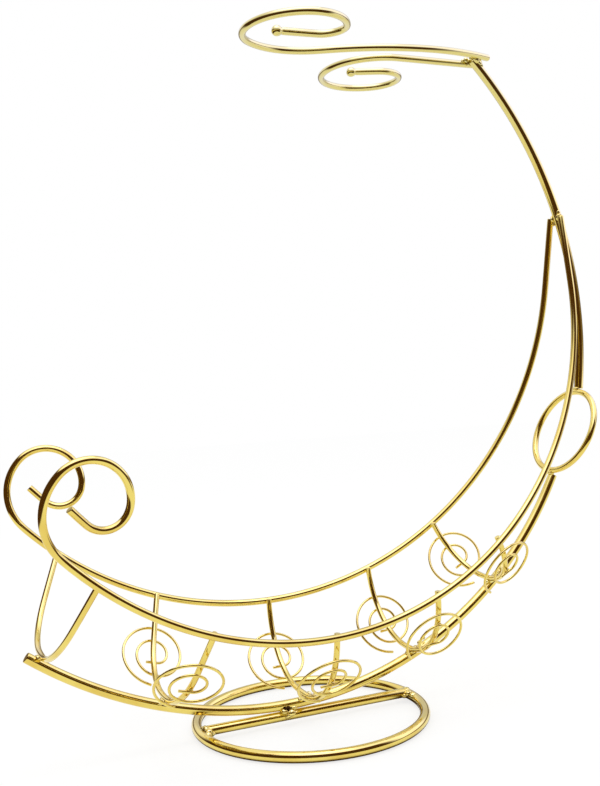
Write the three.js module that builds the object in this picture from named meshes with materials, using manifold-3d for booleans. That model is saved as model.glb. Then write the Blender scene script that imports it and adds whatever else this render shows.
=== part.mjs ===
// A wine glass rack welded from round wire: a crescent cradle for one bottle on a round foot,
// with two hooks at the top of its mast that carry two stemmed glasses by their feet.
// Lengths are in millimetres and angles in degrees. X runs from the scrolled end of the cradle
// to its mast, Y runs across the rack and Z points up from the table. The origin is on the
// table, under the middle of the rack.
import * as THREE from "three";
import { mergeVertices } from "three/addons/utils/BufferGeometryUtils.js";
import Module from "manifold-3d";

// Wires, by the radius of the round stock that each is bent from
const footWireRadius = 3;
const crossbarWireRadius = 2.7;
const spineWireRadius = 2.75;
const railWireRadius = 1.95;
const hoopWireRadius = 1.9;
const hookWireRadius = 2;
const ribWireRadius = 1.6;
const spiralWireRadius = 0.75;
// Room between two pieces that are welded together, where the solder lies
const weldGap = 0.3;

// Foot: a round ring on the table with a straight bar across it
const footRingRadius = 63.7;
const crossbarRise = 2;
const crossbarSetBack = 2.5;

// Keel: the wire under the cradle, a slack arc at its square cut end and a tighter one from
// there up to the hoop
const keelRadius = 210.4;
const keelShift = -13.85;
const keelSlackRadius = 235;
const keelSlackAngle = -102;
const keelEndAngle = -130.5;

// Hoop: the upright ring between the keel and the mast, square to the crescent
const hoopRadius = 26.5;
const hoopInset = 1.7;
const hoopAngle = -19.95;
const hoopTiltAngle = 65;

// Mast: the arc from the top of the hoop to the tip over the cradle
const mastRadius = 240.3;
const mastOutset = 1.6;
const mastFootAngle = -8.5;
const mastTipAngle = 44.9;

// Rails: two mirrored wires, welded beside the mast at the top and scrolled at the low end
const railRadius = 189.4;
const railRise = 47;
const railTopInset = 1.7;
const railSeamAngle = 18.4;
const railTopAngle = -0.8;
const railLowTiltAngle = 27.7;
const railEndHalfWidth = 61;
const railSpreadExponent = 1.65;
const railFlareBackShare = 0.128;
const railFlareUpShare = 0.15;
const scrollOuterRadius = 26.9;
const scrollOuterTurnAngle = 88.6;
const scrollMiddleRadius = 19.4;
const scrollMiddleTurnAngle = 146.7;
const scrollInnerRadius = 12.3;
const scrollInnerTurnAngle = 125.6;
const scrollTailLength = 10.7;

// Ribs: U shaped wires that stand on the keel inside the rails. Each has a foot on the keel, a
// tilt along the rack from square to the keel there, and legs that lean apart.
const ribCornerRadius = 44;
const ribFlatHalfLength = 1;
const ribLegLeastLength = 0.2;
const ribPeek = 1.5;
const endRibPlace = { foot: -128.6, tilt: 10.9, lean: 30 };
const ribPlaces = [
  { foot: -109.4, tilt: 2.7, lean: 28.6 },
  { foot: -87.3, tilt: -3.35, lean: 2 },
  { foot: -68.1, tilt: -17.06, lean: 1.1 },
  { foot: -49.7, tilt: -13.77, lean: 2.8 },
];

// Spirals: flat scrolls of thin wire, welded to the outside of each leg of the four ribs by
// hand, each a little along the rack and up the leg from the middle of the weld. They stay
// clear of the rail. All three are in shares of the spiral's radius. Two have their outer end
// cut back by a turn, so that it ends at the keel.
const spiralRadius = 18.9;
const spiralPitch = 8.2;
const spiralTurnCount = 1.96;
const spiralRoundTurnCount = 0.25;
const spiralStartAngle = -97;
const spiralTailLength = 6.1;
const spiralCutAngle = 45;
const spiralPlaces = [
  { clear: 0.2, front: { along: -0.06, up: 0.24 }, back: { along: 0.11, up: 0.04 } },
  { clear: 0.386, front: { along: -0.1, up: 0.44 }, back: { along: 0.05, up: -0.17 } },
  {
    clear: 0.127,
    front: { along: -0.03, up: -0.2, cut: spiralCutAngle },
    back: { along: 0.14, up: -0.59 },
  },
  {
    clear: 0.099,
    front: { along: 0.01, up: 0.02, cut: spiralCutAngle },
    back: { along: 0.08, up: -0.3 },
  },
];

// Hooks: two flat scrolled arms, welded to the two sides of the mast tip
const ballRadius = 2.8;
const longHookRise = 1.6;
const longHookOverrun = 10.7;
const longHookHeadingAngle = 202.8;
const longHookSlopeShare = 0.0515;
const longHookArmRadius = 152;
const longHookArmTurnAngle = -43.6;
const longHookEaseRadius = 45.9;
const longHookEaseTurnAngle = 62.6;
const longHookScrollRadius = 27.8;
const longHookScrollTurnAngle = 204.5;
const longHookCurlRadius = 10.9;
const longHookCurlTurnAngle = 118.2;
const longHookTailLength = 24;
const shortHookRise = -1;
const shortHookOverrun = 3.2;
const shortHookHeadingAngle = 184.9;
const shortHookSlopeShare = 0.03;
const shortHookArmLength = 54;
const shortHookScrollRadius = 30.9;
const shortHookScrollTurnAngle = -212.4;
const shortHookCurlRadius = 17.4;
const shortHookCurlTurnAngle = -167.3;
const shortHookTailLength = 16.3;

// How finely the round shapes are divided
const wideStepAngle = 3;
const bendStepAngle = 10;
const curlStepAngle = 14;
const spiralStepAngle = 15;
const footSides = 12;
const spineSides = 10;
const wireSides = 8;
const spiralSides = 6;
const footSegments = 72;
const hoopSegments = 48;
const ballWidthSegments = 12;
const ballHeightSegments = 8;

const wasm = await Module();
wasm.setup();

const rack = new THREE.Group();
const gold = { color: 0xd8c45c, roughness: 0.16, metalness: 1 };

function addPiece(name, geometry) {
  const mesh = new THREE.Mesh(geometry, new THREE.MeshStandardMaterial(gold));
  mesh.name = name;
  rack.add(mesh);
  return mesh;
}

const radians = THREE.MathUtils.degToRad;

// A direction in a flat drawing, from its angle
function direction(angle) {
  return new THREE.Vector2(Math.cos(radians(angle)), Math.sin(radians(angle)));
}

function onCircle(centre, radius, angle) {
  return direction(angle).multiplyScalar(radius).add(centre);
}

function angleAbout(centre, point) {
  return THREE.MathUtils.radToDeg(Math.atan2(point.y - centre.y, point.x - centre.x));
}

// The angle that an arc of this radius turns through over a length
function angleOver(length, radius) {
  return THREE.MathUtils.radToDeg(length / radius);
}

// The points of an arc, both ends included
function arcPoints(centre, radius, from, to, step) {
  const steps = Math.ceil(Math.abs(to - from) / step);
  const points = [];
  for (let i = 0; i <= steps; i += 1) {
    points.push(onCircle(centre, radius, THREE.MathUtils.lerp(from, to, i / steps)));
  }
  return points;
}

// The points of a flat wire that is bent piece by piece, each piece going on from the one
// before it: straight on for a length, or through a turn at a bend radius. A turn to the left
// is positive.
function bentPoints(start, startHeading, pieces) {
  const points = [start];
  let heading = startHeading;
  for (const { length, radius, turn, step } of pieces) {
    const from = points[points.length - 1];
    if (length !== undefined) {
      points.push(direction(heading).multiplyScalar(length).add(from));
    } else {
      const side = Math.sign(turn) * 90;
      const centre = onCircle(from, radius, heading + side);
      const arc = arcPoints(centre, radius, heading - side, heading - side + turn, step);
      points.push(...arc.slice(1));
      heading += turn;
    }
  }
  return points;
}

// The centre line of a wire through the points of its bends. Its steps follow the points, so
// a tight bend gets as many of them as a long sweep.
class CentreLine extends THREE.Curve {
  constructor(points) {
    super();
    this.points = points;
  }
  getUtoTmapping(share) {
    return share;
  }
  getPoint(share, target = new THREE.Vector3()) {
    const place = share * (this.points.length - 1);
    const before = Math.min(Math.floor(place), this.points.length - 2);
    return target.lerpVectors(this.points[before], this.points[before + 1], place - before);
  }
}

// A round wire with square cut ends
function wireGeometry(points, radius, sides) {
  const corners = [];
  for (let i = 0; i < sides; i += 1) {
    corners.push(onCircle(new THREE.Vector2(), radius, (i * 360) / sides));
  }
  return new THREE.ExtrudeGeometry(new THREE.Shape(corners), {
    steps: points.length - 1,
    extrudePath: new CentreLine(points),
  });
}

// Upright drawings have x along the rack and y up. This puts their points into space.
function upright(points, across = 0) {
  return points.map((point) => new THREE.Vector3(point.x, across, point.y));
}

function solidOf(geometry) {
  const bare = geometry.clone();
  bare.deleteAttribute("normal");
  bare.deleteAttribute("uv");
  const merged = mergeVertices(bare);
  return new wasm.Manifold(
    new wasm.Mesh({
      numProp: 3,
      vertProperties: merged.attributes.position.array,
      triVerts: new Uint32Array(merged.index.array),
    }),
  );
}

function geometryOf(solid) {
  const mesh = solid.getMesh();
  const geometry = new THREE.BufferGeometry();
  geometry.setAttribute("position", new THREE.BufferAttribute(mesh.vertProperties, 3));
  geometry.setIndex(new THREE.BufferAttribute(mesh.triVerts, 1));
  return geometry;
}

// Foot ring: one flat side of its section lies on the table
function footRingGeometry(wireRadius) {
  const halfSide = 180 / footSides;
  const profile = [];
  for (let i = 0; i <= footSides; i += 1) {
    const corner = onCircle(new THREE.Vector2(), wireRadius, halfSide + (i * 360) / footSides);
    profile.push(corner.add(new THREE.Vector2(footRingRadius, 0)));
  }
  const geometry = new THREE.LatheGeometry(profile, footSegments);
  geometry.rotateX(Math.PI / 2);
  geometry.translate(0, 0, footRingHeight);
  return geometry;
}
const footRingHeight = footWireRadius * Math.cos(Math.PI / footSides);

// The crossbar spans the ring, with a hollow filed into each end for the ring's wire, and the
// keel rests on the bar
const crossbarHeight = footRingHeight + crossbarRise;
const keelLowest = crossbarHeight + crossbarWireRadius + weldGap + spineWireRadius;
const keelCentre = new THREE.Vector2(keelShift, keelLowest + keelRadius);
const slackCentre = onCircle(keelCentre, keelRadius - keelSlackRadius, keelSlackAngle);

// The hoop stands on the end of the keel, and the mast stands on the hoop
const hoopCentre = onCircle(keelCentre, keelRadius - hoopInset, hoopAngle);
const hoopTop = onCircle(hoopCentre, hoopRadius, hoopTiltAngle);
const mastCentre = onCircle(hoopTop, mastOutset - mastRadius, mastFootAngle);
const hoopSeat = hoopWireRadius + weldGap;
const keelTopAngle =
  angleAbout(keelCentre, onCircle(hoopCentre, -hoopRadius, hoopTiltAngle)) -
  angleOver(hoopSeat, keelRadius);
const mastTip = onCircle(mastCentre, mastRadius, mastTipAngle);

// A place on the keel, by its angle on the keel's circle. In the slack arc the same length of
// wire turns through less.
function onKeel(angle) {
  if (angle >= keelSlackAngle) {
    return onCircle(keelCentre, keelRadius, angle);
  }
  const turn = (angle - keelSlackAngle) * (keelRadius / keelSlackRadius);
  return onCircle(slackCentre, keelSlackRadius, keelSlackAngle + turn);
}

// The angle of a line that stands square on the keel, inside its bend
function squareToKeel(angle) {
  return angleAbout(onKeel(angle), angle < keelSlackAngle ? slackCentre : keelCentre);
}

function keelPoints() {
  const steps = Math.ceil((keelTopAngle - keelEndAngle) / wideStepAngle);
  const points = [];
  for (let i = 0; i <= steps; i += 1) {
    points.push(onKeel(THREE.MathUtils.lerp(keelEndAngle, keelTopAngle, i / steps)));
  }
  return upright(points);
}

function addFoot() {
  const ring = footRingGeometry(footWireRadius);
  addPiece("foot_ring", ring);
  const bar = new THREE.CylinderGeometry(
    crossbarWireRadius,
    crossbarWireRadius,
    2 * (footRingRadius - crossbarSetBack),
    footSides,
  );
  bar.rotateZ(Math.PI / 2);
  bar.translate(0, 0, crossbarHeight);
  const hollows = footRingGeometry(footWireRadius + weldGap);
  addPiece("foot_crossbar", geometryOf(solidOf(bar).subtract(solidOf(hollows))));
}

function addSpine() {
  addPiece("keel", wireGeometry(keelPoints(), spineWireRadius, spineSides));
  const hoop = addPiece(
    "hoop",
    new THREE.TorusGeometry(hoopRadius, hoopWireRadius, wireSides, hoopSegments),
  );
  hoop.rotation.y = radians(-hoopTiltAngle);
  hoop.position.set(hoopCentre.x, 0, hoopCentre.y);
  const mastLowAngle = mastFootAngle + angleOver(hoopSeat, mastRadius);
  const mast = arcPoints(mastCentre, mastRadius, mastLowAngle, mastTipAngle, wideStepAngle);
  addPiece("mast", wireGeometry(upright(mast), spineWireRadius, spineSides));
}

// Rails: seen from the side, a straight top, a long arc and a scroll. Their top ends lie beside
// the mast, and the lowest place of the arc is a rise above the keel's.
const railTop = onCircle(mastCentre, mastRadius - railTopInset, railSeamAngle);
const railHeading = direction(railTopAngle + 90);
const railArcTopHeight = keelLowest + railRise + railRadius * (1 - railHeading.x);
const railTopLength = (railTop.y - railArcTopHeight) / railHeading.y;
const railArcTop = railHeading.clone().multiplyScalar(-railTopLength).add(railTop);
const railCentre = onCircle(railArcTop, -railRadius, railTopAngle);
const railTopHalfWidth = spineWireRadius + weldGap + railWireRadius;

// Where a line from a place below the rails meets their arc
function onRails(place, angle) {
  const heading = direction(angle);
  const line = new THREE.Ray(
    new THREE.Vector3(place.x, place.y, 0),
    new THREE.Vector3(heading.x, heading.y, 0),
  );
  const arc = new THREE.Sphere(new THREE.Vector3(railCentre.x, railCentre.y, 0), railRadius);
  const met = line.intersectSphere(arc, new THREE.Vector3());
  return new THREE.Vector2(met.x, met.y);
}

// The arc of the rails ends over the cut end of the keel
const keelEnd = onKeel(keelEndAngle);
const scrollStart = onRails(keelEnd, squareToKeel(keelEndAngle) + railLowTiltAngle);
const railLowAngle = angleAbout(railCentre, scrollStart);

// The length of a rail from its top end to an angle on its arc
function railArcLength(angle) {
  return railTopLength + radians(railTopAngle - angle) * railRadius;
}

// Half the distance between the two rails, at a length below their top ends
function railHalfWidth(length) {
  const left = Math.max(1 - length / railArcLength(railLowAngle), 0) ** railSpreadExponent;
  return THREE.MathUtils.lerp(railEndHalfWidth, railTopHalfWidth, left);
}

function railPoints() {
  const outline = bentPoints(railTop, railTopAngle - 90, [
    { length: railTopLength },
    { radius: railRadius, turn: railLowAngle - railTopAngle, step: wideStepAngle },
    { radius: scrollOuterRadius, turn: -scrollOuterTurnAngle, step: bendStepAngle },
    { radius: scrollMiddleRadius, turn: -scrollMiddleTurnAngle, step: bendStepAngle },
    { radius: scrollInnerRadius, turn: -scrollInnerTurnAngle, step: curlStepAngle },
    { length: scrollTailLength },
  ]);
  let length = 0;
  return outline.map((point, i) => {
    if (i > 0) {
      length += point.distanceTo(outline[i - 1]);
    }
    let halfWidth = railHalfWidth(length);
    if (length > railArcLength(railLowAngle)) {
      halfWidth +=
        railFlareBackShare * (scrollStart.x - point.x) +
        railFlareUpShare * (point.y - scrollStart.y);
    }
    return new THREE.Vector3(point.x, halfWidth, point.y);
  });
}

// Swaps the two sides of the rack
function mirrored(points) {
  return points.map((point) => new THREE.Vector3(point.x, -point.y, point.z));
}

function addRails() {
  const points = railPoints();
  addPiece("rail_front", wireGeometry(mirrored(points), railWireRadius, wireSides));
  addPiece("rail_back", wireGeometry(points, railWireRadius, wireSides));
}

// The sizes of one rib. Its plane holds Y and the line up from the rib's foot on the keel to
// its head between the rails. The corner gives way where the rib is too small for it.
function ribFrame({ foot, tilt, lean }) {
  const base = onKeel(foot);
  const head = onRails(base, squareToKeel(foot) + tilt);
  const up = head.clone().sub(base).normalize();
  const rise = head.distanceTo(base);
  const bottom = spineWireRadius + weldGap + ribWireRadius;
  const halfWidth =
    railHalfWidth(railArcLength(angleAbout(railCentre, head))) -
    railWireRadius -
    weldGap -
    ribWireRadius;
  const leg = direction(90 - lean);
  const spread = (rise - bottom) * (leg.x / leg.y);
  const cornerShare = leg.y - (1 - leg.x) * (leg.x / leg.y);
  const corner = Math.min(
    ribCornerRadius,
    (halfWidth - spread - ribFlatHalfLength) / cornerShare,
    (rise - bottom - ribLegLeastLength * leg.y) / (1 - leg.x),
  );
  const legLength = (rise - bottom - corner * (1 - leg.x)) / leg.y;
  return {
    base,
    up,
    bottom,
    lean,
    corner,
    legLength,
    flatHalf: halfWidth - spread - corner * cornerShare,
    top: new THREE.Vector2(halfWidth, rise),
    spiralSeat: corner + ribWireRadius + weldGap + spiralWireRadius,
  };
}

function ribPoints(frame, peek) {
  const leg = direction(90 - frame.lean);
  const turn = frame.lean - 90;
  const tip = leg.clone().multiplyScalar(peek).add(frame.top);
  const outline = bentPoints(tip, -90 - frame.lean, [
    { length: frame.legLength + peek },
    { radius: frame.corner, turn, step: bendStepAngle },
    { length: 2 * frame.flatHalf },
    { radius: frame.corner, turn, step: bendStepAngle },
    { length: frame.legLength + peek },
  ]);
  return outline.map(
    (point) =>
      new THREE.Vector3(
        frame.base.x + frame.up.x * point.y,
        point.x,
        frame.base.y + frame.up.y * point.y,
      ),
  );
}

// The flat outline of a spiral about its own middle: a quarter turn at full radius, an even
// spiral inwards and a short straight tail. It winds clockwise, and its outer end may be cut
// back by a turn.
function spiralOutline(cut) {
  const outline = [];
  const steps = Math.round((spiralTurnCount * 360) / spiralStepAngle);
  for (let i = Math.round(cut / spiralStepAngle); i <= steps; i += 1) {
    const turns = (i * spiralStepAngle) / 360;
    const radius = spiralRadius - spiralPitch * Math.max(turns - spiralRoundTurnCount, 0);
    outline.push(onCircle(new THREE.Vector2(), radius, spiralStartAngle - turns * 360));
  }
  const last = outline[outline.length - 1];
  const before = outline[outline.length - 2];
  outline.push(last.clone().sub(before).setLength(spiralTailLength).add(last));
  return outline;
}

// How far a spiral leans out of upright: it lies against the outer bend of a rib's leg and
// passes outside the rail, clear of it
function spiralLean(frame, clear) {
  const rail = new THREE.Vector2(railWireRadius + weldGap + ribWireRadius, 0)
    .add(frame.top)
    .sub(new THREE.Vector2(frame.flatHalf, frame.bottom + frame.corner));
  const railDepth = frame.spiralSeat - railWireRadius - spiralWireRadius - clear * spiralRadius;
  return THREE.MathUtils.radToDeg(rail.angle() + Math.asin(railDepth / rail.length()));
}

// A spiral lies flat against the outer bend of a rib's leg
function spiralPoints(frame, lean, { along: placeAlong, up: placeUp, cut = 0 }) {
  const sine = Math.sin(radians(lean));
  const cosine = Math.cos(radians(lean));
  const along = new THREE.Vector3(frame.up.y, 0, -frame.up.x);
  const up = new THREE.Vector3(frame.up.x * sine, cosine, frame.up.y * sine);
  const outward = new THREE.Vector3(-frame.up.x * cosine, sine, -frame.up.y * cosine);
  const bend = new THREE.Vector3(
    frame.base.x + frame.up.x * (frame.bottom + frame.corner),
    frame.flatHalf,
    frame.base.y + frame.up.y * (frame.bottom + frame.corner),
  );
  return spiralOutline(cut).map((point) =>
    bend
      .clone()
      .addScaledVector(outward, frame.spiralSeat)
      .addScaledVector(along, placeAlong * spiralRadius + point.x)
      .addScaledVector(up, placeUp * spiralRadius + point.y),
  );
}

function addRibs() {
  const endPoints = ribPoints(ribFrame(endRibPlace), 0);
  addPiece("end_rib", wireGeometry(endPoints, ribWireRadius, wireSides));
  ribPlaces.forEach((ribPlace, i) => {
    const frame = ribFrame(ribPlace);
    addPiece(`rib_${i + 1}`, wireGeometry(ribPoints(frame, ribPeek), ribWireRadius, wireSides));
    const { clear, front, back } = spiralPlaces[i];
    const lean = spiralLean(frame, clear);
    const frontPoints = mirrored(spiralPoints(frame, lean, front));
    const backPoints = spiralPoints(frame, lean, back);
    addPiece(
      `spiral_${i + 1}_front`,
      wireGeometry(frontPoints, spiralWireRadius, spiralSides),
    );
    addPiece(
      `spiral_${i + 1}_back`,
      wireGeometry(backPoints, spiralWireRadius, spiralSides),
    );
  });
}

// A hook is bent flat, in a plane that slopes a little along the rack. Its arm passes the
// mast tip on one side, and a small ball closes its tail.
function addHook(name, side, { rise, overrun, heading, slopeShare, pieces }) {
  const arm = bentPoints(new THREE.Vector2(mastTip.x + overrun, 0), heading, pieces);
  const beside = side * (spineWireRadius + weldGap + hookWireRadius);
  const slide = beside + overrun * Math.tan(radians(heading));
  const points = arm.map(
    (point) =>
      new THREE.Vector3(
        point.x,
        point.y + slide,
        mastTip.y + rise + slopeShare * (point.x - mastTip.x),
      ),
  );
  const ball = new THREE.SphereGeometry(ballRadius, ballWidthSegments, ballHeightSegments);
  const tail = points[points.length - 1];
  ball.translate(tail.x, tail.y, tail.z);
  const wire = solidOf(wireGeometry(points, hookWireRadius, wireSides));
  addPiece(name, geometryOf(wire.add(solidOf(ball))));
}

function addHooks() {
  addHook("glass_hook_long", -1, {
    rise: longHookRise,
    overrun: longHookOverrun,
    heading: longHookHeadingAngle,
    slopeShare: longHookSlopeShare,
    pieces: [
      { radius: longHookArmRadius, turn: longHookArmTurnAngle, step: wideStepAngle },
      { radius: longHookEaseRadius, turn: longHookEaseTurnAngle, step: bendStepAngle },
      { radius: longHookScrollRadius, turn: longHookScrollTurnAngle, step: bendStepAngle },
      { radius: longHookCurlRadius, turn: longHookCurlTurnAngle, step: curlStepAngle },
      { length: longHookTailLength },
    ],
  });
  addHook("glass_hook_short", 1, {
    rise: shortHookRise,
    overrun: shortHookOverrun,
    heading: shortHookHeadingAngle,
    slopeShare: shortHookSlopeShare,
    pieces: [
      { length: shortHookArmLength },
      { radius: shortHookScrollRadius, turn: shortHookScrollTurnAngle, step: bendStepAngle },
      { radius: shortHookCurlRadius, turn: shortHookCurlTurnAngle, step: curlStepAngle },
      { length: shortHookTailLength },
    ],
  });
}

addFoot();
addSpine();
addRails();
addRibs();
addHooks();

// The rack is moved so that the middle of its outline lies over the origin
const outline = new THREE.Box3().setFromObject(rack, true);
const middle = outline.getCenter(new THREE.Vector3());
rack.position.set(-middle.x, -middle.y, 0);

export default rack;
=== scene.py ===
import math

import bmesh
import bpy
from bpy.props import FloatProperty, FloatVectorProperty, PointerProperty
from mathutils import Matrix, Vector, noise
from mathutils.bvhtree import BVHTree


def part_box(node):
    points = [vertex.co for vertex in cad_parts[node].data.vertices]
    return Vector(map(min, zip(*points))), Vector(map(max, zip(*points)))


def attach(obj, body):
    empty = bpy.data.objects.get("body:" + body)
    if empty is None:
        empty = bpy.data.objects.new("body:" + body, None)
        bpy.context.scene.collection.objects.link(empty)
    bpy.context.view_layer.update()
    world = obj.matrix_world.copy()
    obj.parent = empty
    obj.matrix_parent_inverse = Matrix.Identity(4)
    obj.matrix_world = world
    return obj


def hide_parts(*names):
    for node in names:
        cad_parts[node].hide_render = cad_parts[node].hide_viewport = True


bl_info = {
    "name": "Wine Glass Rack",
    "version": (1, 0, 0),
    "blender": (4, 5, 0),
    "location": "3D View > Sidebar > Rack",
    "description": "Round gold plated wires and weld beads for a wine glass rack",
    "category": "Object",
}

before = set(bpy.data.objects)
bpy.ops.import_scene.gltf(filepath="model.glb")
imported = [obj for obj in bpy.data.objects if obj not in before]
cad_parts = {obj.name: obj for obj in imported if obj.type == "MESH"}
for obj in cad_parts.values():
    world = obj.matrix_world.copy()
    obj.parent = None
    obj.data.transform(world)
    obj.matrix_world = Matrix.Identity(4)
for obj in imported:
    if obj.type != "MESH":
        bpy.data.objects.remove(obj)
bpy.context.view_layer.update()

# The foot ring's middle is the place that the camera is set from
RING_LOW, RING_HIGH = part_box("foot_ring")
RING_MIDDLE = (RING_LOW + RING_HIGH) / 2
# Share of the ring's half height that its round wire keeps, so that it stays off the table
RING_FULLNESS = 0.985

# Sides of each kind of wire in the CAD model
FOOT_SIDES, SPINE_SIDES, WIRE_SIDES, SPIRAL_SIDES = 12, 10, 8, 6

RIBS = ("end_rib", "rib_1", "rib_2", "rib_3", "rib_4")
SPIRALS = tuple("spiral_%d_%s" % (rib, side) for rib in (1, 2, 3, 4) for side in ("front", "back"))

# The stock of each wire: the name of its radius and its sides in the CAD model
STOCK = {
    "foot_ring": ("foot_radius", FOOT_SIDES),
    "keel": ("spine_radius", SPINE_SIDES),
    "mast": ("spine_radius", SPINE_SIDES),
    "hoop": ("hoop_radius", WIRE_SIDES),
    "rail_front": ("rail_radius", WIRE_SIDES),
    "rail_back": ("rail_radius", WIRE_SIDES),
    "glass_hook_long": ("hook_radius", WIRE_SIDES),
    "glass_hook_short": ("hook_radius", WIRE_SIDES),
}
STOCK.update({rib: ("rib_radius", WIRE_SIDES) for rib in RIBS})
STOCK.update({spiral: ("spiral_radius", SPIRAL_SIDES) for spiral in SPIRALS})

# CAD vertices nearer than this are one vertex
MERGE_DISTANCE = 1e-6
# Degrees that tell a cut end from the wire's side, and that two triangles of a quad may differ
CUT_ANGLE = 75
QUAD_FACE_ANGLE, QUAD_SHAPE_ANGLE = 30, 80
WIRE_LEVELS = 2

BAR_SEGMENTS = 32
BAR_SHARP_ANGLE = 40

# The melted ball at the tail of each hook: its middle and the way the tail points
TAILS = {
    "glass_hook_long": ((-0.035659, -0.029747, 0.373157), (-0.99561, -0.07836, -0.05127)),
    "glass_hook_short": ((0.036977, 0.030815, 0.375743), (-0.96642, 0.25534, -0.02899)),
}
# How far round its middle a CAD ball is taken off, in shares of its radius
TAIL_REACH = 1.25

# Rings of a ball's outline, from the wire to the tip: along the tail and out from its axis,
# in shares of the ball's radius
BALL_OUTLINE = (
    (-1.5, 0.714),
    (-1.16, 0.7),
    (-1.02, 0.61),
    (-0.86, 0.66),
    (-0.62, 0.86),
    (-0.3, 0.985),
    (0.05, 1.02),
    (0.4, 0.95),
    (0.72, 0.74),
    (0.93, 0.42),
    (0.99, 0.14),
)

# Half width and half depth of the bead of weld metal at each kind of contact
RIB_FOOT_BEAD = (0.0024, 0.0011)
RIB_TIP_BEAD = (0.0014, 0.0009)
SPIRAL_BEAD = (0.0011, 0.0007)
SPINE_BEAD = (0.0024, 0.0012)
LONG_HOOK_BEAD = (0.0032, 0.0019)
SHORT_HOOK_BEAD = (0.0028, 0.0019)
KEEL_BEAD = (0.0042, 0.0014)

# The contacts that each piece of weld metal fills: the two CAD nodes and the bead
WELDS = {
    "rib_welds": [
        (rib, other, bead)
        for rib in RIBS
        for other, bead in (
            ("keel", RIB_FOOT_BEAD),
            ("rail_front", RIB_TIP_BEAD),
            ("rail_back", RIB_TIP_BEAD),
        )
    ],
    "spiral_welds": [(spiral, "rib_" + spiral.split("_")[1], SPIRAL_BEAD) for spiral in SPIRALS],
    "hoop_welds": [("keel", "hoop", SPINE_BEAD), ("mast", "hoop", SPINE_BEAD)],
    "mast_welds": [("rail_front", "mast", SPINE_BEAD), ("rail_back", "mast", SPINE_BEAD)],
    "hook_welds": [
        ("glass_hook_long", "mast", LONG_HOOK_BEAD),
        ("glass_hook_short", "mast", SHORT_HOOK_BEAD),
    ],
    "keel_weld": [("keel", "foot_crossbar", KEEL_BEAD)],
}

# Lumps round the foot of a rib, and the two more along the keel at the high ribs
RIB_LUMPS = (
    (0.0024, -0.0015, 0.0012, 0.75),
    (-0.0024, -0.0013, -0.0008, 0.75),
    (0.0001, -0.0027, -0.0002, 0.8),
    (0.0002, 0.0024, 0.0, 0.7),
)
HIGH_RIB_LUMPS = RIB_LUMPS + (
    (0.0052, -0.0019, 0.0040, 0.62),
    (0.0078, -0.0021, 0.0062, 0.5),
)

# Lumps of weld metal beside a contact: along, across and up from it, and their share of its
# bead's width
EXTRA_LUMPS = {
    ("rib_1", "keel"): RIB_LUMPS,
    ("rib_2", "keel"): RIB_LUMPS,
    ("rib_3", "keel"): HIGH_RIB_LUMPS,
    ("rib_4", "keel"): HIGH_RIB_LUMPS,
    ("keel", "foot_crossbar"): (
        (-0.0022, -0.0019, 0.0004, 0.6),
        (0.0018, -0.0021, -0.0008, 0.66),
        (0.0036, -0.0017, 0.0014, 0.5),
        (-0.0004, -0.0022, -0.0024, 0.5),
        (0.0006, 0.0021, 0.0002, 0.66),
    ),
    ("glass_hook_long", "mast"): (
        (0.0016, 0.0012, 0.0012, 0.62),
        (0.0026, 0.0008, -0.0018, 0.7),
        (-0.0028, 0.0011, 0.0006, 0.5),
        (0.0038, 0.0002, -0.0038, 0.42),
    ),
    ("glass_hook_short", "mast"): (
        (-0.0026, -0.0009, 0.0012, 0.6),
        (0.0018, -0.0006, 0.0014, 0.55),
        (-0.0046, 0.0002, 0.0008, 0.4),
    ),
    ("rail_back", "mast"): (
        (0.0006, -0.0008, 0.0036, 0.6),
        (0.0002, 0.0004, -0.0034, 0.5),
    ),
    ("rail_front", "mast"): (
        (-0.0004, 0.0008, 0.0034, 0.55),
        (0.0004, 0.0004, -0.003, 0.5),
    ),
}
# A lump's half depth as a share of its half width
LUMP_DEPTH = 0.72

# Lumps at each end of the bar: inward along it, across it and up from its axis, and their size
BAR_LUMPS = (
    (0.0002, 0.0, 0.0008, 0.0026),
    (0.0006, -0.0028, 0.0002, 0.0025),
    (0.0003, 0.003, 0.0002, 0.0023),
    (-0.0006, -0.0058, -0.0002, 0.0021),
    (0.0026, -0.0021, -0.001, 0.0019),
    (-0.0009, -0.0087, -0.0006, 0.0016),
)
BAR_LUMP_DEPTH = 0.8

# The pit in the keel's weld: its middle from the contact, its half depth, and its lobes, along
# and up from its middle, with their half width and half height
# The pit is drawn as a near-black patch of painted shade, not as a hollow
PIT_PLACE = (-0.0007, -0.0035, 0.0013)
PIT_DEPTH = 0.0005
PIT_LOBES = (
    (-0.0009, 0.0007, 0.0011, 0.0011),
    (0.0009, 0.0007, 0.0011, 0.0011),
    (0.0, -0.0006, 0.0008, 0.0013),
)

# How a bead is roughened: how fine its mesh is, how deep and how closely it is dented, and
# where in the noise each bead's dents are read
BEAD_SUBDIVISIONS = 3
BEAD_DENTS = 0.22
BEAD_GRAIN = 1.3
SEED_WAY = (1, 1.7, 0.3)
SEED_STEP = 1.37
FIRST_SEED, FIRST_BAR_SEED, LUMP_SEED_SHIFT = 1.0, 40.0, 5

# The plate: its clouds of colour, its fine grain, its coat and its spread of roughness
CLOUD_SCALE, CLOUD_DETAIL, CLOUD_EDGES = 55, 4, (0.35, 0.6)
GRAIN_SCALE, GRAIN_DETAIL = 700, 5
GRAIN_STRENGTH, GRAIN_HEIGHT = 0.02, 0.0002
COAT_WEIGHT, COAT_ROUGHNESS = 0.5, 0.06
POLISH_SPREAD = (0.7, 1.5)
# Heights between which the plate is painted paler, towards the pale gold of the hooks: painted light that
# stands in for the brighter light on them
PAINTED_LIGHT_HEIGHTS = (0.27, 0.37)
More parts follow.
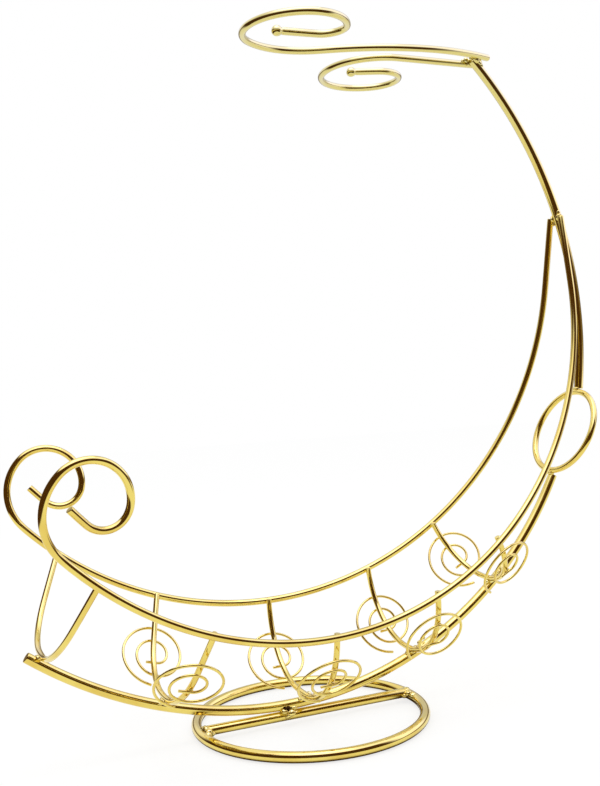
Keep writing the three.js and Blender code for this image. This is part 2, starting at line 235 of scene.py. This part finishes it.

# Weld metal, and the near-black painted shade that stands for the pit in its front: dark and light
# colour, least and most roughness
WELD_COLOURS, WELD_POLISH = ((0.64, 0.47, 0.09), (0.97, 0.83, 0.27)), (0.14, 0.36)
WELD_CLOUD_SCALE, WELD_GRAIN_STRENGTH = 420, 0.35
PIT_SHADE_COLOURS, PIT_SHADE_POLISH = ((0.02, 0.008, 0.002), (0.12, 0.06, 0.015)), (0.4, 0.7)

# The room that the metal sees: its colour and its dim horizon with the heights between which
# that comes and goes
ROOM_COLOUR = (0.66, 0.66, 0.72)
HORIZON_COLOUR = (0.2, 0.15, 0.1)
HORIZON_START, HORIZON_END = (-0.06, 0.04), (0.24, 0.12)
# Its lights: azimuth, elevation, the angles at which each has faded and is full, and its colour
LIGHTS = (
    (-10, 62, 62, 34, (1.25, 1.25, 1.8)),
    (-10, 78, 42, 16, (1.7, 1.7, 3.2)),
    (75, 30, 50, 26, (1.35, 1.35, 2.3)),
    (-160, 45, 40, 20, (1.0, 1.0, 1.2)),
)
# Strength of the plain white room that lights the floor
PLAIN_STRENGTH = 0.8

# The dark screen that stands round the lens: its radius, the azimuths of its ends, its lower and
# upper edge, its colour, and how far it thins out at its ends, in radians, and at its edges
SCREEN_RADIUS = 0.5
SCREEN_ENDS = (-150, 66)
SCREEN_EDGES = (-0.02, 0.63)
SCREEN_SEGMENTS = 48
SCREEN_COLOUR = (0.07, 0.03, 0.008)
SCREEN_END_FADE, SCREEN_FOOT_FADE, SCREEN_TOP_FADE = 0.4, 0.05, 0.12

# The floor: its middle, half its width and depth, and its squares
FLOOR_MIDDLE = (0, 1.0, -0.0002)
FLOOR_REACH = (2.2, 1.62)
FLOOR_SQUARES = 8
# How it is painted and glows, the share of the glow that the lens and the metal see, and the dark painted
# shade that the metal sees on the floor in the narrow gap under a wire
FLOOR_COLOUR = (0.9, 0.9, 0.9)
FLOOR_GLOW = 1.12
LENS_SHARE, METAL_SHARE = 0.68, 0.48
CREVICE_REACH, CREVICE_EDGES = 0.012, (0.42, 0.8)
PAINTED_CREVICE_SHADE = (0.16, 0.1, 0.04)

# The overhead lamp: its place, what it points to and its width and height
LAMP_PLACE, LAMP_AIM = (0.0, -0.1, 1.4), (0.0, 0.0, 0.15)
LAMP_WIDTH, LAMP_HEIGHT = 0.9, 0.5

# The camera: its place from the point of the floor under the ring's middle, the way to the right
# and up in its image and the way it looks, and how far the image is shifted, in pixels
CAMERA_PLACE = (-0.21292, -0.51378, 0.1876)
CAMERA_RIGHT = (0.91404952, -0.40246376, -0.05036271)
CAMERA_UP = (0.0494168, -0.01274074, 0.99869698)
CAMERA_AHEAD = (0.402581, 0.91534725, -0.0082428)
IMAGE_SHIFT, IMAGE_HEIGHT = (-16.04, -1.5), 786
SENSOR_WIDTH = 36
CAMERA_NEAR = 0.01


class RackSizes(bpy.types.PropertyGroup):
    """Sizes of the round wires and their welds"""

    foot_radius: FloatProperty(
        name="Foot wire", description="Radius of the foot ring's wire", default=0.003, unit="LENGTH"
    )
    crossbar_radius: FloatProperty(
        name="Crossbar", description="Radius of the bar across the foot", default=0.0027, unit="LENGTH"
    )
    spine_radius: FloatProperty(
        name="Spine wire", description="Radius of the keel and the mast", default=0.00275, unit="LENGTH"
    )
    rail_radius: FloatProperty(
        name="Rail wire", description="Radius of the two rails", default=0.00195, unit="LENGTH"
    )
    hoop_radius: FloatProperty(
        name="Hoop wire", description="Radius of the hoop's wire", default=0.0019, unit="LENGTH"
    )
    hook_radius: FloatProperty(
        name="Hook wire", description="Radius of the glass hooks' wire", default=0.002, unit="LENGTH"
    )
    rib_radius: FloatProperty(
        name="Rib wire", description="Radius of the ribs' wire", default=0.0016, unit="LENGTH"
    )
    spiral_radius: FloatProperty(
        name="Spiral wire", description="Radius of the spirals' wire", default=0.00075, unit="LENGTH"
    )
    ball_radius: FloatProperty(
        name="Tail ball", description="Radius of the ball on a hook's tail", default=0.0028, unit="LENGTH"
    )
    end_round: FloatProperty(
        name="End rounding",
        description="Width of the rounding at the rim of a cut wire end, as a share of the wire",
        default=0.12,
        subtype="FACTOR",
    )


class RackFinish(bpy.types.PropertyGroup):
    """Colours and polish of the gold plate"""

    gold: FloatVectorProperty(
        name="Gold", description="Colour of the gold plate", default=(0.9, 0.72, 0.165), subtype="COLOR"
    )
    deep_gold: FloatVectorProperty(
        name="Deep gold",
        description="Colour of the plate where it lies thicker",
        default=(0.82, 0.605, 0.115),
        subtype="COLOR",
    )
    # Painted light: a paler gold for the high hooks, standing in for the brighter light that falls on
    # them
    painted_highlight_gold: FloatVectorProperty(
        name="Pale gold",
        description="Colour of the thin plate on the glass hooks",
        default=(0.77, 0.665, 0.225),
        subtype="COLOR",
    )
    polish: FloatProperty(
        name="Roughness", description="Roughness of the polished plate", default=0.075, subtype="FACTOR"
    )


class RackStudio(bpy.types.PropertyGroup):
    """Light and camera of the stage"""

    lens: FloatProperty(
        name="Lens", description="Focal length of the camera", default=45.67, subtype="DISTANCE_CAMERA"
    )
    key_power: FloatProperty(
        name="Overhead light", description="Power of the overhead light", default=2.2, subtype="POWER"
    )


def new_mesh_object(name, bm):
    """Makes an object of a finished bmesh and puts it into the scene."""
    mesh = bpy.data.meshes.new(name)
    bm.to_mesh(mesh)
    bm.free()
    made = bpy.data.objects.new(name, mesh)
    bpy.context.scene.collection.objects.link(made)
    return made


def add_piece(name, bm, material):
    """Puts a finished bmesh into the scene as a smooth piece of the rack."""
    bm.normal_update()
    piece = new_mesh_object(name, bm)
    for face in piece.data.polygons:
        face.use_smooth = True
    piece.data.materials.append(material)
    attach(piece, "root")
    return piece


def limit_share(sides):
    """How much of its corner radius an even section keeps when it is subdivided."""
    return (2 + math.cos(2 * math.pi / sides)) / 3


def merged_wire(node):
    """A copy of a CAD wire's mesh as one closed surface, faces outwards."""
    bm = bmesh.new()
    bm.from_mesh(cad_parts[node].data)
    bmesh.ops.remove_doubles(bm, verts=bm.verts, dist=MERGE_DISTANCE)
    bmesh.ops.recalc_face_normals(bm, faces=bm.faces)
    return bm


def joined_end_faces(bm):
    """The flat ends of a wire, each made one face."""
    rim = set()
    for edge in bm.edges:
        if len(edge.link_faces) == 2 and edge.calc_face_angle(0.0) > math.radians(CUT_ANGLE):
            rim.update(edge.verts)
    ends = [face for face in bm.faces if all(vert in rim for vert in face.verts)]
    return bmesh.ops.dissolve_faces(bm, faces=ends)["region"] if ends else []


def swell(bm, reach, ends):
    """Moves the sides out along their normals, square to the wire at its cut ends."""
    bm.normal_update()
    across = {vert: face.normal.copy() for face in ends for vert in face.verts}
    moves = {}
    for vert in bm.verts:
        way = vert.normal.copy()
        if vert in across:
            way -= across[vert] * way.dot(across[vert])
        moves[vert] = way.normalized() * reach
    for vert, move in moves.items():
        vert.co += move


def add_ball(bm, edges, middle, way, radius, sides):
    """Draws an open wire end out into a melted ball."""
    for along, out in BALL_OUTLINE:
        made = bmesh.ops.extrude_edge_only(bm, edges=edges)["geom"]
        edges = [item for item in made if isinstance(item, bmesh.types.BMEdge)]
        verts = [item for item in made if isinstance(item, bmesh.types.BMVert)]
        centre = sum((vert.co for vert in verts), Vector()) / len(verts)
        place = middle + way * (along * radius)
        reach = out * radius / limit_share(sides)
        for vert in verts:
            offset = vert.co - centre
            offset -= way * offset.dot(way)
            vert.co = place + offset.normalized() * reach
    bmesh.ops.holes_fill(bm, edges=edges, sides=0)


def round_rims(bm, ends, offset, segments):
    """Rounds the rims of the cut ends."""
    rims = [edge for face in ends for edge in face.edges]
    if rims:
        bmesh.ops.bevel(
            bm,
            geom=rims,
            offset=offset,
            segments=segments,
            profile=0.5,
            affect="EDGES",
            material=-1,
        )


def make_wire(node, sizes):
    """Replaces a CAD wire with a smooth round one that has crisp cut ends."""
    radius_name, sides = STOCK[node]
    radius = getattr(sizes, radius_name)
    bm = merged_wire(node)
    if node in TAILS:
        middle, way = (Vector(part) for part in TAILS[node])
        reach = sizes.ball_radius * TAIL_REACH
        near = [vert for vert in bm.verts if (vert.co - middle).length < reach]
        bmesh.ops.delete(bm, geom=near, context="VERTS")
    ends = joined_end_faces(bm)
    bmesh.ops.join_triangles(
        bm,
        faces=[face for face in bm.faces if face not in ends],
        angle_face_threshold=math.radians(QUAD_FACE_ANGLE),
        angle_shape_threshold=math.radians(QUAD_SHAPE_ANGLE),
    )
    full = RING_FULLNESS * RING_MIDDLE.z if node == "foot_ring" else radius
    swell(bm, full / limit_share(sides) - radius, ends)
    if node in TAILS:
        open_edges = [edge for edge in bm.edges if edge.is_boundary]
        add_ball(bm, open_edges, middle, way, sizes.ball_radius, sides)
    bmesh.ops.recalc_face_normals(bm, faces=bm.faces)
    round_rims(bm, ends, radius * sizes.end_round, 2)
    piece = add_piece(node + "_wire", bm, gold_plate())
    surface = piece.modifiers.new("Round", "SUBSURF")
    surface.levels = WIRE_LEVELS
    surface.render_levels = WIRE_LEVELS
    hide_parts(node)


def make_crossbar(sizes):
    """The straight bar across the foot, cut square and rounded at its rims."""
    low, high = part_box("foot_crossbar")
    bm = bmesh.new()
    bmesh.ops.create_cone(
        bm,
        cap_ends=True,
        segments=BAR_SEGMENTS,
        radius1=sizes.crossbar_radius,
        radius2=sizes.crossbar_radius,
        depth=high.x - low.x,
        matrix=Matrix.Translation((low + high) / 2) @ Matrix.Rotation(math.pi / 2, 4, "Y"),
    )
    ends = [face for face in bm.faces if len(face.verts) > 4]
    round_rims(bm, ends, sizes.crossbar_radius * sizes.end_round, 3)
    piece = add_piece("foot_crossbar_bar", bm, gold_plate())
    piece.data.set_sharp_from_angle(angle=math.radians(BAR_SHARP_ANGLE))
    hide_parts("foot_crossbar")


def piece_of(node):
    """The smooth piece that stands for a CAD node."""
    name = "foot_crossbar_bar" if node == "foot_crossbar" else node + "_wire"
    return bpy.data.objects[name]


def contact(first, second):
    """Where two nodes' pieces come nearest: the place between them and the way across."""
    depsgraph = bpy.context.evaluated_depsgraph_get()
    tree = BVHTree.FromObject(piece_of(second), depsgraph)
    evaluated = piece_of(first).evaluated_get(depsgraph)
    best = None
    for vert in evaluated.to_mesh().vertices:
        place, _, _, distance = tree.find_nearest(vert.co)
        if best is None or distance < best[0]:
            best = (distance, (vert.co + place) / 2, (place - vert.co).normalized())
    evaluated.to_mesh_clear()
    return best[1], best[2]


def add_bead(bm, place, way, wide, deep, seed):
    """A bead of weld metal, as wide as its first radius across the contact and uneven."""
    turn = way.to_track_quat("Z", "Y").to_matrix().to_4x4()
    matrix = Matrix.Translation(place) @ turn @ Matrix.Diagonal((wide, wide, deep, 1.0))
    made = bmesh.ops.create_icosphere(
        bm, subdivisions=BEAD_SUBDIVISIONS, radius=1.0, matrix=matrix
    )
    shift = Vector([seed * share for share in SEED_WAY])
    for vert in made["verts"]:
        out = vert.co - place
        push = noise.noise(out * (BEAD_GRAIN / wide) + shift)
        vert.co += out * (BEAD_DENTS * push)


def make_welds():
    """The beads at all contacts of round wires, with the lumps beside them."""
    seed = FIRST_SEED
    for name, joints in WELDS.items():
        bm = bmesh.new()
        for first, second, (wide, deep) in joints:
            place, way = contact(first, second)
            add_bead(bm, place, way, wide, deep, seed)
            for along, across, up, share in EXTRA_LUMPS.get((first, second), ()):
                lump = place + Vector((along, across, up))
                size = wide * share
                add_bead(bm, lump, way, size, size * LUMP_DEPTH, seed + LUMP_SEED_SHIFT)
                seed += SEED_STEP
            seed += SEED_STEP
        add_piece(name, bm, weld_metal())


def make_bar_welds():
    """The runs of weld metal that hold the bar's two ends in the foot ring."""
    low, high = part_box("foot_crossbar")
    bm = bmesh.new()
    seed = FIRST_BAR_SEED
    for end, inward in ((low.x, 1), (high.x, -1)):
        for along, across, up, size in BAR_LUMPS:
            place = Vector((end + inward * along, across, (low.z + high.z) / 2 + up))
            add_bead(bm, place, Vector((0, 0, 1)), size, size * BAR_LUMP_DEPTH, seed)
            seed += SEED_STEP
    add_piece("bar_welds", bm, weld_metal())


def make_weld_pit():
    """A near-black patch of painted shade for the pit in the front of the keel's weld: two lobes that run
    down to a point.
    """
    place, _ = contact("keel", "foot_crossbar")
    right, forward, rise = PIT_PLACE
    bm = bmesh.new()
    for along, up, wide, tall in PIT_LOBES:
        middle = place + Vector((right + along, forward, rise + up))
        matrix = Matrix.Translation(middle) @ Matrix.Diagonal((wide, PIT_DEPTH, tall, 1))
        bmesh.ops.create_icosphere(
            bm, subdivisions=BEAD_SUBDIVISIONS, radius=1.0, matrix=matrix
        )
    add_piece("keel_weld_pit", bm, painted_pit_shade())


def add_node(tree, kind, **settings):
    """A new shader node with its settings."""
    made = tree.nodes.new(kind)
    for name, value in settings.items():
        setattr(made, name, value)
    return made


def feed(tree, socket, value):
    """Links a socket to an input, or gives the input a number, a vector or a colour."""
    if isinstance(value, bpy.types.NodeSocket):
        tree.links.new(value, socket)
    elif socket.type == "RGBA":
        socket.default_value = (*value, 1)
    else:
        socket.default_value = value


def maths(tree, operation, *values):
    """The result of a sum on sockets and numbers."""
    made = add_node(tree, "ShaderNodeMath", operation=operation)
    for socket, value in zip(made.inputs, values):
        feed(tree, socket, value)
    return made.outputs[0]


def soft_step(tree, value, low, high):
    """0 below low, 1 above high and smooth between them."""
    step = add_node(tree, "ShaderNodeMapRange", interpolation_type="SMOOTHSTEP")
    feed(tree, step.inputs["From Min"], low)
    feed(tree, step.inputs["From Max"], high)
    feed(tree, step.inputs["Value"], value)
    return step.outputs["Result"]


def colour_mix(tree, share, first, second):
    """Goes from the first colour to the second by a share. Either may be a socket."""
    mix = add_node(tree, "ShaderNodeMix", data_type="RGBA")
    feed(tree, mix.inputs[0], share)
    feed(tree, mix.inputs[6], first)
    feed(tree, mix.inputs[7], second)
    return mix.outputs[2]


def shader_mix(tree, share, first, second):
    """Goes from the first shader to the second by a share."""
    mix = add_node(tree, "ShaderNodeMixShader")
    for socket, value in zip(mix.inputs, (share, first, second)):
        feed(tree, socket, value)
    return mix.outputs[0]


def noise_texture(tree, name, place, scale, detail):
    texture = add_node(tree, "ShaderNodeTexNoise", name=name)
    feed(tree, texture.inputs["Vector"], place)
    feed(tree, texture.inputs["Scale"], scale)
    feed(tree, texture.inputs["Detail"], detail)
    return texture.outputs["Fac"]


def split(tree, vector):
    """The three parts of a vector."""
    parts = add_node(tree, "ShaderNodeSeparateXYZ")
    feed(tree, parts.inputs["Vector"], vector)
    return parts.outputs


def set_ramp(ramp, colours):
    for element, colour in zip(ramp.color_ramp.elements, colours):
        element.color = (*colour, 1)


def set_range(polish, low, high):
    polish.inputs["To Min"].default_value = low
    polish.inputs["To Max"].default_value = high


def gold_plate():
    """Polished gold plate on steel wire, a little uneven in colour, polish and surface, and painted paler
    on the high hooks as painted light."""
    material = bpy.data.materials.get("gold_plate")
    if material:
        return material
    finish = bpy.context.scene.rack_finish
    material = bpy.data.materials.new("gold_plate")
    material.use_nodes = True
    tree = material.node_tree
    shader = tree.nodes["Principled BSDF"]
    feed(tree, shader.inputs["Metallic"], 1.0)
    feed(tree, shader.inputs["Coat Weight"], COAT_WEIGHT)
    feed(tree, shader.inputs["Coat Roughness"], COAT_ROUGHNESS)
    place = add_node(tree, "ShaderNodeTexCoord").outputs["Object"]
    clouds = noise_texture(tree, "Clouds", place, CLOUD_SCALE, CLOUD_DETAIL)
    tone = add_node(tree, "ShaderNodeValToRGB", name="Tone")
    for element, position in zip(tone.color_ramp.elements, CLOUD_EDGES):
        element.position = position
    set_ramp(tone, (finish.deep_gold, finish.gold))
    feed(tree, tone.inputs["Fac"], clouds)
    # Painted light: the share by which the plate is painted paler with height
    painted_light_share = soft_step(tree, split(tree, place)["Z"], *PAINTED_LIGHT_HEIGHTS)
    colour = colour_mix(tree, painted_light_share, tone.outputs["Color"], tuple(finish.painted_highlight_gold))
    feed(tree, shader.inputs["Base Color"], colour)
    grain = noise_texture(tree, "Grain", place, GRAIN_SCALE, GRAIN_DETAIL)
    polish = add_node(tree, "ShaderNodeMapRange", name="Polish")
    set_range(polish, *(finish.polish * share for share in POLISH_SPREAD))
    feed(tree, polish.inputs["Value"], grain)
    feed(tree, shader.inputs["Roughness"], polish.outputs["Result"])
    bump = add_node(tree, "ShaderNodeBump", name="Bump")
    feed(tree, bump.inputs["Strength"], GRAIN_STRENGTH)
    feed(tree, bump.inputs["Distance"], GRAIN_HEIGHT)
    feed(tree, bump.inputs["Height"], grain)
    feed(tree, shader.inputs["Normal"], bump.outputs["Normal"])
    return material


def changed_plate(name, base, colours, polish):
    """A copy of a metal in other colours and with another spread of roughness."""
    material = base.copy()
    material.name = name
    nodes = material.node_tree.nodes
    set_ramp(nodes["Tone"], colours)
    set_range(nodes["Polish"], *polish)
    return material, nodes


def weld_metal():
    """Weld metal under the plate: rougher and more uneven than the drawn wire."""
    material = bpy.data.materials.get("weld_metal")
    if material:
        return material
    material, nodes = changed_plate("weld_metal", gold_plate(), WELD_COLOURS, WELD_POLISH)
    nodes["Clouds"].inputs["Scale"].default_value = WELD_CLOUD_SCALE
    nodes["Bump"].inputs["Strength"].default_value = WELD_GRAIN_STRENGTH
    return material


def painted_pit_shade():
    """Painted shade for the pits of a weld, nearly black and rough."""
    material = bpy.data.materials.get("painted_pit_shade")
    if material:
        return material
    material, nodes = changed_plate("painted_pit_shade", weld_metal(), PIT_SHADE_COLOURS, PIT_SHADE_POLISH)
    nodes["Principled BSDF"].inputs["Coat Weight"].default_value = 0
    return material


def way_of(azimuth, elevation):
    """A direction from the rack, with azimuth 0 to the front and 90 to the right."""
    turn, rise = math.radians(azimuth), math.radians(elevation)
    return (
        math.sin(turn) * math.cos(rise),
        -math.cos(turn) * math.cos(rise),
        math.sin(rise),
    )


def toward(tree, vector, azimuth, elevation, wide, narrow):
    """How far a ray points to a patch of the room: 0 outside its wide angle, 1 in the narrow."""
    dot = add_node(tree, "ShaderNodeVectorMath", operation="DOT_PRODUCT")
    feed(tree, dot.inputs[0], vector)
    feed(tree, dot.inputs[1], way_of(azimuth, elevation))
    low, high = (math.cos(math.radians(angle)) for angle in (wide, narrow))
    return soft_step(tree, dot.outputs["Value"], low, high)


def background(tree, colour, strength=1.0):
    made = add_node(tree, "ShaderNodeBackground")
    feed(tree, made.inputs["Color"], colour)
    feed(tree, made.inputs["Strength"], strength)
    return made.outputs[0]


def studio_world():
    """A white room for the lens. The metal sees a dimmer one, with its lights and horizon."""
    world = bpy.data.worlds.new("studio")
    bpy.context.scene.world = world
    world.use_nodes = True
    tree = world.node_tree
    tree.nodes.clear()
    out = add_node(tree, "ShaderNodeOutputWorld")
    ray = add_node(tree, "ShaderNodeLightPath")
    vector = add_node(tree, "ShaderNodeTexCoord").outputs["Generated"]
    room = ROOM_COLOUR
    for *patch, colour in LIGHTS:
        room = colour_mix(tree, toward(tree, vector, *patch), room, colour)
    height = split(tree, vector)["Z"]
    above = soft_step(tree, height, *HORIZON_START)
    below = soft_step(tree, height, *HORIZON_END)
    horizon = maths(tree, "MULTIPLY", above, below)
    metal = background(tree, colour_mix(tree, horizon, room, HORIZON_COLOUR))
    plain = background(tree, (1, 1, 1), PLAIN_STRENGTH)
    white = background(tree, (1, 1, 1))
    unseen = shader_mix(tree, ray.outputs["Is Glossy Ray"], plain, metal)
    feed(tree, out.inputs["Surface"], shader_mix(tree, ray.outputs["Is Camera Ray"], unseen, white))


def stage_material(name):
    """A new material of the studio: its node tree and the input that takes its shader."""
    material = bpy.data.materials.new(name)
    material.use_nodes = True
    tree = material.node_tree
    tree.nodes.clear()
    out = add_node(tree, "ShaderNodeOutputMaterial")
    return material, tree, out.inputs["Surface"]


def screen_black():
    """Black cloth that thins out towards the edges of the screen."""
    material, tree, surface = stage_material("screen_black")
    parts = split(tree, add_node(tree, "ShaderNodeTexCoord").outputs["Object"])
    azimuth = maths(tree, "ARCTAN2", parts["X"], maths(tree, "MULTIPLY", parts["Y"], -1))
    first, last = (math.radians(angle) for angle in SCREEN_ENDS)
    low, high = SCREEN_EDGES
    cover = soft_step(tree, azimuth, first, first + SCREEN_END_FADE)
    for value, clear, full in (
        (azimuth, last, last - SCREEN_END_FADE),
        (parts["Z"], low, low + SCREEN_FOOT_FADE),
        (parts["Z"], high, high - SCREEN_TOP_FADE),
    ):
        cover = maths(tree, "MULTIPLY", cover, soft_step(tree, value, clear, full))
    cloth = add_node(tree, "ShaderNodeEmission")
    feed(tree, cloth.inputs["Color"], SCREEN_COLOUR)
    nothing = add_node(tree, "ShaderNodeBsdfTransparent")
    feed(tree, surface, shader_mix(tree, cover, nothing.outputs[0], cloth.outputs[0]))
    return material


def add_screen():
    """The dark screen that only the metal sees."""
    bm = bmesh.new()
    bmesh.ops.create_grid(bm, x_segments=SCREEN_SEGMENTS, y_segments=2, size=1.0)
    first, last = SCREEN_ENDS
    low, high = SCREEN_EDGES
    for vert in bm.verts:
        turn = math.radians(first + (vert.co.x + 1) / 2 * (last - first))
        rise = low + (vert.co.y + 1) / 2 * (high - low)
        vert.co = (SCREEN_RADIUS * math.sin(turn), -SCREEN_RADIUS * math.cos(turn), rise)
    screen = new_mesh_object("screen", bm)
    screen.data.materials.append(screen_black())
    screen.visible_camera = False
    screen.visible_diffuse = False
    screen.visible_shadow = False


def floor_white():
    """White floor that stays white for the lens and still takes a soft shadow. The metal sees it glow
    less, and painted dark, a painted shade, in the narrow gap under a wire."""
    material, tree, surface = stage_material("floor_white")
    ray = add_node(tree, "ShaderNodeLightPath")
    open_sky = add_node(tree, "ShaderNodeAmbientOcclusion")
    feed(tree, open_sky.inputs["Distance"], CREVICE_REACH)
    lit = soft_step(tree, open_sky.outputs["AO"], *CREVICE_EDGES)
    mirrored = maths(tree, "MULTIPLY", ray.outputs["Is Glossy Ray"], lit)
    # Painted shade: glossy rays see the floor painted dark where a wire lies close above it
    crevice_shade_mask = maths(tree, "SUBTRACT", ray.outputs["Is Glossy Ray"], mirrored)
    paint = add_node(tree, "ShaderNodeBsdfDiffuse")
    paint_with_painted_shade = colour_mix(tree, crevice_shade_mask, FLOOR_COLOUR, PAINTED_CREVICE_SHADE)
    feed(tree, paint.inputs["Color"], paint_with_painted_shade)
    glow = add_node(tree, "ShaderNodeEmission")
    feed(tree, glow.inputs["Strength"], FLOOR_GLOW)
    seen = maths(tree, "MULTIPLY", ray.outputs["Is Camera Ray"], LENS_SHARE)
    share = maths(tree, "MULTIPLY_ADD", mirrored, METAL_SHARE, seen)
    feed(tree, surface, shader_mix(tree, share, paint.outputs[0], glow.outputs[0]))
    return material


def add_floor():
    bm = bmesh.new()
    size = Matrix.Diagonal((*FLOOR_REACH, 1, 1))
    bmesh.ops.create_grid(
        bm,
        x_segments=FLOOR_SQUARES,
        y_segments=FLOOR_SQUARES,
        size=1.0,
        matrix=Matrix.Translation(FLOOR_MIDDLE) @ size,
    )
    floor = new_mesh_object("floor", bm)
    floor.data.materials.append(floor_white())


def add_overhead_lamp(power):
    lamp = bpy.data.lights.new("overhead", "AREA")
    lamp.shape = "RECTANGLE"
    lamp.size = LAMP_WIDTH
    lamp.size_y = LAMP_HEIGHT
    lamp.energy = power
    overhead = bpy.data.objects.new("overhead", lamp)
    bpy.context.scene.collection.objects.link(overhead)
    overhead.location = LAMP_PLACE
    way = Vector(LAMP_AIM) - Vector(LAMP_PLACE)
    overhead.rotation_euler = way.to_track_quat("-Z", "Y").to_euler()


def add_camera(lens):
    data = bpy.data.cameras.new("camera")
    data.lens = lens
    data.sensor_width = SENSOR_WIDTH
    data.sensor_fit = "AUTO"
    data.shift_x, data.shift_y = (shift / IMAGE_HEIGHT for shift in IMAGE_SHIFT)
    data.clip_start = CAMERA_NEAR
    camera = bpy.data.objects.new("camera", data)
    bpy.context.scene.collection.objects.link(camera)
    axes = (Vector(CAMERA_RIGHT), Vector(CAMERA_UP), -Vector(CAMERA_AHEAD))
    place = Vector((RING_MIDDLE.x, RING_MIDDLE.y, 0)) + Vector(CAMERA_PLACE)
    camera.matrix_world = Matrix.Translation(place) @ Matrix(axes).transposed().to_4x4()
    bpy.context.scene.camera = camera


class RACK_OT_foot(bpy.types.Operator):
    """Makes the foot ring and the bar across it"""

    bl_idname = "rack.foot"
    bl_label = "Foot"

    def execute(self, context):
        make_wire("foot_ring", context.scene.rack_sizes)
        make_crossbar(context.scene.rack_sizes)
        return {"FINISHED"}


class RACK_OT_spine(bpy.types.Operator):
    """Makes the keel, the hoop and the mast"""

    bl_idname = "rack.spine"
    bl_label = "Keel, hoop and mast"

    def execute(self, context):
        for node in ("keel", "hoop", "mast"):
            make_wire(node, context.scene.rack_sizes)
        return {"FINISHED"}


class RACK_OT_rails(bpy.types.Operator):
    """Makes the two scrolled rails"""

    bl_idname = "rack.rails"
    bl_label = "Rails"

    def execute(self, context):
        for node in ("rail_front", "rail_back"):
            make_wire(node, context.scene.rack_sizes)
        return {"FINISHED"}


class RACK_OT_ribs(bpy.types.Operator):
    """Makes the five ribs between the keel and the rails"""

    bl_idname = "rack.ribs"
    bl_label = "Ribs"

    def execute(self, context):
        for node in RIBS:
            make_wire(node, context.scene.rack_sizes)
        return {"FINISHED"}


class RACK_OT_spirals(bpy.types.Operator):
    """Makes the thin spirals on both sides of the ribs"""

    bl_idname = "rack.spirals"
    bl_label = "Spirals"

    def execute(self, context):
        for node in SPIRALS:
            make_wire(node, context.scene.rack_sizes)
        return {"FINISHED"}


class RACK_OT_hooks(bpy.types.Operator):
    """Makes the two scrolled hooks that carry the glasses"""

    bl_idname = "rack.hooks"
    bl_label = "Glass hooks"

    def execute(self, context):
        for node in TAILS:
            make_wire(node, context.scene.rack_sizes)
        return {"FINISHED"}


class RACK_OT_welds(bpy.types.Operator):
    """Makes the weld metal where the wires meet, after the wires"""

    bl_idname = "rack.welds"
    bl_label = "Welds"

    def execute(self, context):
        make_welds()
        make_bar_welds()
        make_weld_pit()
        return {"FINISHED"}


class RACK_OT_stage(bpy.types.Operator):
    """Sets the floor, the dark screen, the lights and the camera"""

    bl_idname = "rack.stage"
    bl_label = "Stage"

    def execute(self, context):
        studio = context.scene.rack_studio
        studio_world()
        add_floor()
        add_screen()
        add_overhead_lamp(studio.key_power)
        add_camera(studio.lens)
        context.scene.view_settings.view_transform = "Standard"
        return {"FINISHED"}


class RACK_PT_panel(bpy.types.Panel):
    """Lists the sizes, the finish, the studio and the steps that make the rack"""

    bl_label = "Wine Glass Rack"
    bl_idname = "RACK_PT_panel"
    bl_space_type = "VIEW_3D"
    bl_region_type = "UI"
    bl_category = "Rack"

    def draw(self, context):
        for group_name, group in GROUPS.items():
            for name in group.__annotations__:
                self.layout.prop(getattr(context.scene, group_name), name)
        for operator in OPERATORS:
            self.layout.operator(operator.bl_idname)


OPERATORS = (
    RACK_OT_foot,
    RACK_OT_spine,
    RACK_OT_rails,
    RACK_OT_ribs,
    RACK_OT_spirals,
    RACK_OT_hooks,
    RACK_OT_welds,
    RACK_OT_stage,
)
GROUPS = {
    "rack_sizes": RackSizes,
    "rack_finish": RackFinish,
    "rack_studio": RackStudio,
}


def register():
    for name, group in GROUPS.items():
        bpy.utils.register_class(group)
        setattr(bpy.types.Scene, name, PointerProperty(type=group))
    for operator in OPERATORS:
        bpy.utils.register_class(operator)
    bpy.utils.register_class(RACK_PT_panel)


def unregister():
    bpy.utils.unregister_class(RACK_PT_panel)
    for operator in reversed(OPERATORS):
        bpy.utils.unregister_class(operator)
    for name, group in GROUPS.items():
        delattr(bpy.types.Scene, name)
        bpy.utils.unregister_class(group)


def main():
    register()
    bpy.ops.rack.foot()
    bpy.ops.rack.spine()
    bpy.ops.rack.rails()
    bpy.ops.rack.ribs()
    bpy.ops.rack.spirals()
    bpy.ops.rack.hooks()
    bpy.ops.rack.welds()
    bpy.ops.rack.stage()


if __name__ == "__main__":
    main()
